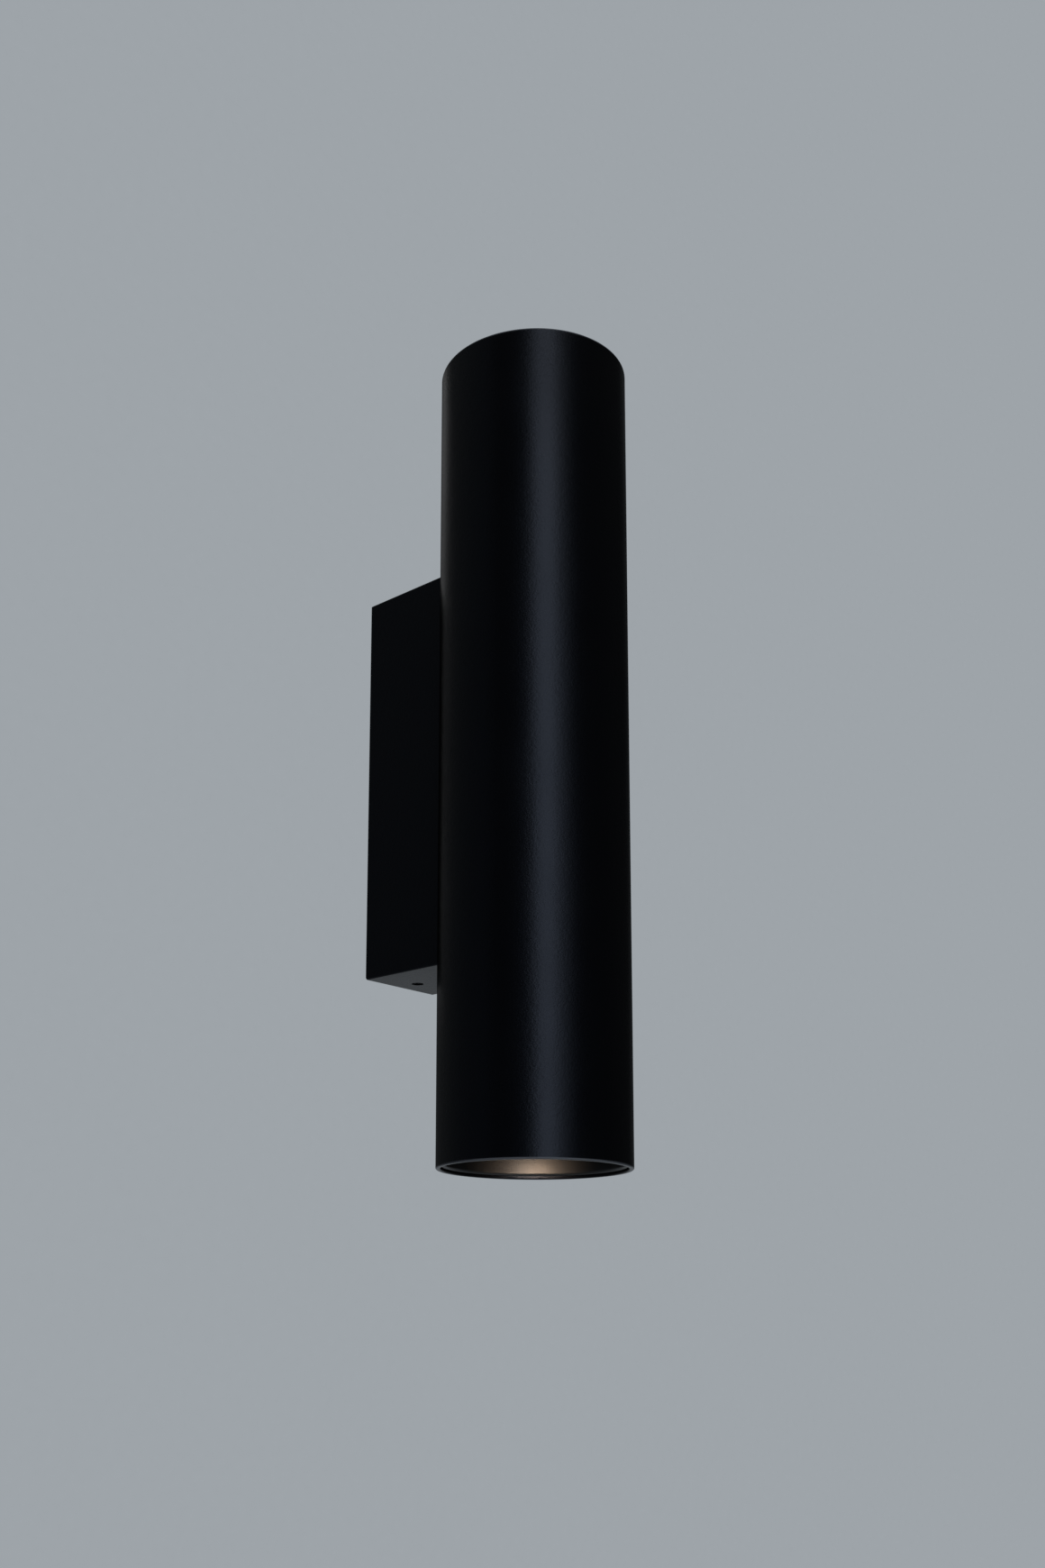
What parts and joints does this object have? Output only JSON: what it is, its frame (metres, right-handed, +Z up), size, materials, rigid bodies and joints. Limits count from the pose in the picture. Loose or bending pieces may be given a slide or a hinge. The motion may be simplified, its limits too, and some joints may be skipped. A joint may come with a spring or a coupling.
{
  "type": "tube wall light",
  "caption": "Slim black tube wall light that shines up and down from two recessed lamps, on a narrow box that hangs on a wall plate.",
  "frame": {"origin": "middle of the two wall screw slots, on the wall plane and level with the middle of the tube", "axes": "+Z up along the tube, +Y into the wall, +X to the right for someone facing the wall"},
  "size_m": [0.06, 0.0885, 0.26],
  "materials": {
    "black_coat": "satin black powder coat on aluminium",
    "baffle_black": "satin black moulding",
    "zinc_sheet": "zinc-plated steel sheet",
    "zinc_screws": "zinc-plated steel",
    "black_screws": "blackened steel",
    "rubber_black": "soft rubber",
    "nylon_white": "natural nylon",
    "tinned_brass": "tinned brass",
    "nickel_pins": "nickel-plated brass",
    "earth_sheath": "green and yellow sheath",
    "lead_sleeve": "woven glass sleeve over silicone leads",
    "ceramic": "glazed white ceramic",
    "lamp_plastic": "white moulding",
    "lamp_shell": "silver-grey moulding",
    "lamp_lens": "frosted warm lens"
  },
  "bodies": {
    "wall_side": {"wall_plate": "zinc_sheet", "cable_grommet": "rubber_black"},
    "fixture": {"earth_tag": "tinned_brass", "earth_wire": "earth_sheath", "fixing_screws": "zinc_screws", "fixing_washers": "zinc_screws", "lower_holder_bracket": "zinc_sheet", "lower_holder_contacts": "tinned_brass", "lower_holder_nuts": "zinc_screws", "lower_holder_screws": "zinc_screws", "lower_lampholder": "ceramic", "lower_leads": "lead_sleeve", "mount_box": "black_coat", "retaining_screws": "black_screws", "terminal_block": "nylon_white", "terminal_screw": "zinc_screws", "tube_body": "black_coat", "upper_holder_bracket": "zinc_sheet", "upper_holder_contacts": "tinned_brass", "upper_holder_nuts": "zinc_screws", "upper_holder_screws": "zinc_screws", "upper_lampholder": "ceramic", "upper_leads": "lead_sleeve", "wire_bush": "nylon_white"},
    "upper_lamp": {"upper_lamp_base": "lamp_plastic", "upper_lamp_body": "lamp_shell", "upper_lamp_lens": "lamp_lens", "upper_lamp_pins": "nickel_pins"},
    "lower_lamp": {"lower_lamp_base": "lamp_plastic", "lower_lamp_body": "lamp_shell", "lower_lamp_lens": "lamp_lens", "lower_lamp_pins": "nickel_pins"},
    "upper_baffle": {"upper_baffle": "baffle_black"},
    "lower_baffle": {"lower_baffle": "baffle_black"}
  },
  "joints": [
    {"name": "lift_off", "type": "slide", "parent": "wall_side", "child": "fixture", "axis": [0, -1, 0], "range_m": [0, 0.03]},
    {"name": "upper_baffle_pull", "type": "slide", "parent": "fixture", "child": "upper_baffle", "axis": [0, 0, 1], "range_m": [0, 0.03]},
    {"name": "lower_baffle_pull", "type": "slide", "parent": "fixture", "child": "lower_baffle", "axis": [0, 0, -1], "range_m": [0, 0.03]},
    {"name": "upper_lamp_twist", "type": "hinge", "parent": "fixture", "child": "upper_lamp", "pos_m": [0, -0.0585, 0.0525], "axis": [0, 0, 1], "range_deg": [0, 25]},
    {"name": "lower_lamp_twist", "type": "hinge", "parent": "fixture", "child": "lower_lamp", "pos_m": [0, -0.0585, -0.0525], "axis": [0, 0, -1], "range_deg": [0, 25]}
  ]
}
